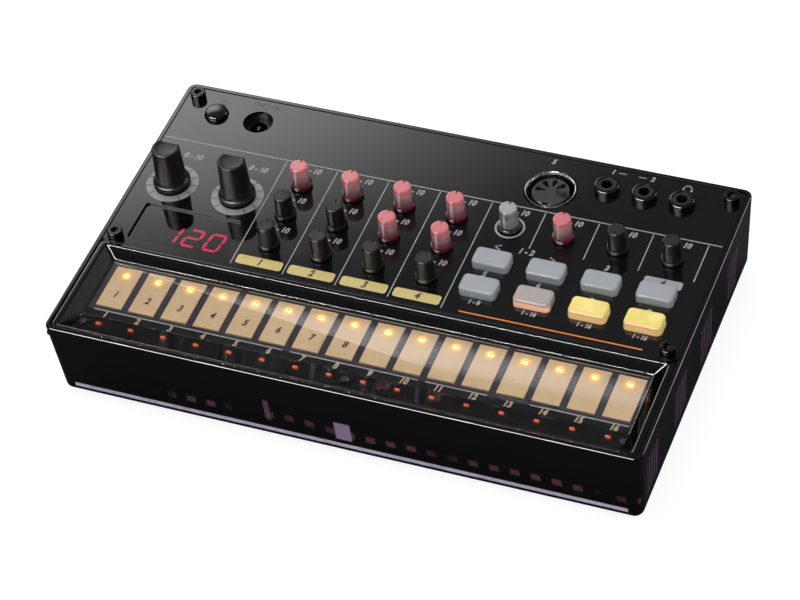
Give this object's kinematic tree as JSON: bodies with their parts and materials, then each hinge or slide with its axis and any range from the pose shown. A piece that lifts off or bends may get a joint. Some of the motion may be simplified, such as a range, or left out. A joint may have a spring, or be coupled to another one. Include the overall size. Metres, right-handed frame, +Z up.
{
  "type": "drum machine",
  "caption": "Desktop drum machine: dark drafted case with turning knobs, sprung keys, touch pads under a clear window, sockets and a battery bay.",
  "frame": {"origin": "centre of the case in plan, on the surface that the feet stand on", "axes": "+X to the right of the player, +Y to the rear (the sockets), +Z up"},
  "size_m": [0.193, 0.115, 0.046],
  "materials": {
    "battery_skin": "gloss",
    "board_mask": "satin",
    "button_black": "gloss",
    "case_plastic": "gloss",
    "clear_knob": "satin",
    "clear_window": "gloss",
    "dial_black": "satin",
    "foot_rubber": "matte",
    "grey_key": "satin",
    "knob_black": "satin",
    "lamp_amber": "gloss",
    "lit_key": "satin",
    "lit_knob": "satin",
    "module_black": "satin",
    "pad_beige": "satin",
    "panel_plastic": "gloss",
    "pot_metal": "satin",
    "ring_black": "gloss",
    "screw_black": "satin",
    "screw_steel": "satin",
    "shaft_metal": "satin",
    "smoked_window": "gloss",
    "socket_black": "satin",
    "socket_metal": "gloss",
    "speaker_paper": "matte",
    "speaker_steel": "satin",
    "switch_black": "matte"
  },
  "bodies": {
    "chassis": {"batteries": "battery_skin", "battery_contacts": "socket_metal", "board_screws": "screw_steel", "bottom_case": "case_plastic", "din_insert": "socket_black", "din_shell": "socket_metal", "display_module": "module_black", "display_window": "smoked_window", "front_lamps": "lamp_amber", "jack_rings": "ring_black", "key_switches": "switch_black", "key_window": "clear_window", "large_pots": "pot_metal", "main_board": "board_mask", "pad_lamps": "lamp_amber", "panel_screws": "screw_black", "phones_jack": "socket_black", "power_inlet": "socket_black", "power_inlet_pin": "socket_metal", "rear_board": "board_mask", "rubber_feet": "foot_rubber", "small_pots": "pot_metal", "speaker_cone": "speaker_paper", "speaker_frame": "speaker_steel", "sync_in_jack": "socket_black", "sync_out_jack": "socket_black", "top_panel": "panel_plastic", "touch_board": "board_mask", "touch_pads": "pad_beige"},
    "knob_a1_body": {"knob_a1": "lit_knob"},
    "knob_a2_body": {"knob_a2": "knob_black"},
    "knob_a3_body": {"knob_a3": "knob_black"},
    "knob_b1_body": {"knob_b1": "lit_knob"},
    "knob_b2_body": {"knob_b2": "knob_black"},
    "knob_b3_body": {"knob_b3": "knob_black"},
    "knob_c1_body": {"knob_c1": "lit_knob"},
    "knob_c2_body": {"knob_c2": "lit_knob"},
    "knob_c3_body": {"knob_c3": "knob_black"},
    "knob_d1_body": {"knob_d1": "lit_knob"},
    "knob_d2_body": {"knob_d2": "lit_knob"},
    "knob_d3_body": {"knob_d3": "knob_black"},
    "speed_knob_body": {"speed_knob": "clear_knob"},
    "tempo_knob_body": {"tempo_knob": "lit_knob"},
    "level_knob_body": {"level_knob": "knob_black"},
    "volume_knob_body": {"volume_knob": "knob_black"},
    "dial_left_body": {"dial_left": "dial_black", "dial_shaft_left": "shaft_metal"},
    "dial_right_body": {"dial_right": "dial_black", "dial_shaft_right": "shaft_metal"},
    "key_rear_1_body": {"key_rear_1": "grey_key"},
    "key_rear_2_body": {"key_rear_2": "grey_key"},
    "key_rear_3_body": {"key_rear_3": "grey_key"},
    "key_rear_4_body": {"key_rear_4": "grey_key"},
    "key_front_1_body": {"key_front_1": "grey_key"},
    "key_front_2_body": {"key_front_2": "grey_key"},
    "key_front_3_body": {"key_front_3": "lit_key"},
    "key_front_4_body": {"key_front_4": "lit_key"},
    "power_button_body": {"power_button": "button_black"},
    "battery_cover_body": {"battery_cover": "case_plastic"}
  },
  "joints": [
    {"name": "knob_a1_turn", "type": "hinge", "parent": "chassis", "child": "knob_a1_body", "pos_m": [-0.0422, 0.0221, 0.0311], "axis": [0, 0, 1], "range_deg": [-140, 140]},
    {"name": "knob_a2_turn", "type": "hinge", "parent": "chassis", "child": "knob_a2_body", "pos_m": [-0.0422, 0.0085, 0.0311], "axis": [0, 0, 1], "range_deg": [-140, 140]},
    {"name": "knob_a3_turn", "type": "hinge", "parent": "chassis", "child": "knob_a3_body", "pos_m": [-0.0422, -0.0051, 0.0311], "axis": [0, 0, 1], "range_deg": [-140, 140]},
    {"name": "knob_b1_turn", "type": "hinge", "parent": "chassis", "child": "knob_b1_body", "pos_m": [-0.0246, 0.0221, 0.0311], "axis": [0, 0, 1], "range_deg": [-140, 140]},
    {"name": "knob_b2_turn", "type": "hinge", "parent": "chassis", "child": "knob_b2_body", "pos_m": [-0.0246, 0.0085, 0.0311], "axis": [0, 0, 1], "range_deg": [-140, 140]},
    {"name": "knob_b3_turn", "type": "hinge", "parent": "chassis", "child": "knob_b3_body", "pos_m": [-0.0246, -0.0051, 0.0311], "axis": [0, 0, 1], "range_deg": [-140, 140]},
    {"name": "knob_c1_turn", "type": "hinge", "parent": "chassis", "child": "knob_c1_body", "pos_m": [-0.007, 0.0221, 0.0311], "axis": [0, 0, 1], "range_deg": [-140, 140]},
    {"name": "knob_c2_turn", "type": "hinge", "parent": "chassis", "child": "knob_c2_body", "pos_m": [-0.007, 0.0085, 0.0311], "axis": [0, 0, 1], "range_deg": [-140, 140]},
    {"name": "knob_c3_turn", "type": "hinge", "parent": "chassis", "child": "knob_c3_body", "pos_m": [-0.007, -0.0051, 0.0311], "axis": [0, 0, 1], "range_deg": [-140, 140]},
    {"name": "knob_d1_turn", "type": "hinge", "parent": "chassis", "child": "knob_d1_body", "pos_m": [0.0106, 0.0221, 0.0311], "axis": [0, 0, 1], "range_deg": [-140, 140]},
    {"name": "knob_d2_turn", "type": "hinge", "parent": "chassis", "child": "knob_d2_body", "pos_m": [0.0106, 0.0085, 0.0311], "axis": [0, 0, 1], "range_deg": [-140, 140]},
    {"name": "knob_d3_turn", "type": "hinge", "parent": "chassis", "child": "knob_d3_body", "pos_m": [0.0106, -0.0051, 0.0311], "axis": [0, 0, 1], "range_deg": [-140, 140]},
    {"name": "speed_knob_turn", "type": "hinge", "parent": "chassis", "child": "speed_knob_body", "pos_m": [0.0282, 0.0221, 0.0311], "axis": [0, 0, 1], "range_deg": [-140, 140]},
    {"name": "tempo_knob_turn", "type": "hinge", "parent": "chassis", "child": "tempo_knob_body", "pos_m": [0.0458, 0.0221, 0.0311], "axis": [0, 0, 1], "range_deg": [-140, 140]},
    {"name": "level_knob_turn", "type": "hinge", "parent": "chassis", "child": "level_knob_body", "pos_m": [0.0634, 0.0221, 0.0311], "axis": [0, 0, 1], "range_deg": [-140, 140]},
    {"name": "volume_knob_turn", "type": "hinge", "parent": "chassis", "child": "volume_knob_body", "pos_m": [0.081, 0.0221, 0.0311], "axis": [0, 0, 1], "range_deg": [-140, 140]},
    {"name": "dial_left_turn", "type": "hinge", "parent": "chassis", "child": "dial_left_body", "pos_m": [-0.0831, 0.012, 0.0311], "axis": [0, 0, 1], "range_deg": [-140, 140]},
    {"name": "dial_right_turn", "type": "hinge", "parent": "chassis", "child": "dial_right_body", "pos_m": [-0.0603, 0.012, 0.0311], "axis": [0, 0, 1], "range_deg": [-140, 140]},
    {"name": "key_rear_1_press", "type": "slide", "parent": "chassis", "child": "key_rear_1_body", "axis": [0, 0, -1], "range_m": [0, 0.001], "stiffness_N_per_m": 300, "springref_m": -0.001},
    {"name": "key_rear_2_press", "type": "slide", "parent": "chassis", "child": "key_rear_2_body", "axis": [0, 0, -1], "range_m": [0, 0.001], "stiffness_N_per_m": 300, "springref_m": -0.001},
    {"name": "key_rear_3_press", "type": "slide", "parent": "chassis", "child": "key_rear_3_body", "axis": [0, 0, -1], "range_m": [0, 0.001], "stiffness_N_per_m": 300, "springref_m": -0.001},
    {"name": "key_rear_4_press", "type": "slide", "parent": "chassis", "child": "key_rear_4_body", "axis": [0, 0, -1], "range_m": [0, 0.001], "stiffness_N_per_m": 300, "springref_m": -0.001},
    {"name": "key_front_1_press", "type": "slide", "parent": "chassis", "child": "key_front_1_body", "axis": [0, 0, -1], "range_m": [0, 0.001], "stiffness_N_per_m": 300, "springref_m": -0.001},
    {"name": "key_front_2_press", "type": "slide", "parent": "chassis", "child": "key_front_2_body", "axis": [0, 0, -1], "range_m": [0, 0.001], "stiffness_N_per_m": 300, "springref_m": -0.001},
    {"name": "key_front_3_press", "type": "slide", "parent": "chassis", "child": "key_front_3_body", "axis": [0, 0, -1], "range_m": [0, 0.001], "stiffness_N_per_m": 300, "springref_m": -0.001},
    {"name": "key_front_4_press", "type": "slide", "parent": "chassis", "child": "key_front_4_body", "axis": [0, 0, -1], "range_m": [0, 0.001], "stiffness_N_per_m": 300, "springref_m": -0.001},
    {"name": "power_button_press", "type": "slide", "parent": "chassis", "child": "power_button_body", "axis": [0, 0, -1], "range_m": [0, 0.001], "stiffness_N_per_m": 300, "springref_m": -0.001},
    {"name": "battery_cover_open", "type": "hinge", "parent": "chassis", "child": "battery_cover_body", "pos_m": [-0.025, -0.01375, 0.00225], "axis": [-1, 0, 0], "range_deg": [0, 70]}
  ]
}
